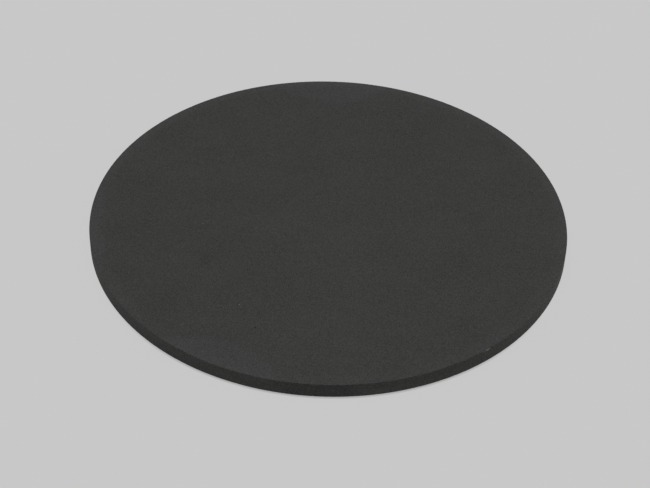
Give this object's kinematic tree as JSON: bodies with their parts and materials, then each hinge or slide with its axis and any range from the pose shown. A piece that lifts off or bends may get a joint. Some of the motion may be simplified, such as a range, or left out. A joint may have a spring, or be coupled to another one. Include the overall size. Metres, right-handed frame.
{
  "type": "sputtering target",
  "caption": "Flat round ceramic sputtering target: a plain ground plate with lightly broken edges, clamped or bonded to a cathode by its back face.",
  "frame": {"origin": "centre of the back (bonding) face, which the plate lies on", "axes": "+Z along the disc's axis, out of the front face that is sputtered; the disc is round, so +X and +Y are only fixed by the small edge chip at 51.3 degrees clockwise from +X"},
  "size_m": [0.1016, 0.1016, 0.0032],
  "materials": {
    "target_ceramic": "matte ground dark grey sintered oxide"
  },
  "bodies": {
    "root": {"target_disc": "target_ceramic"}
  },
  "joints": []
}
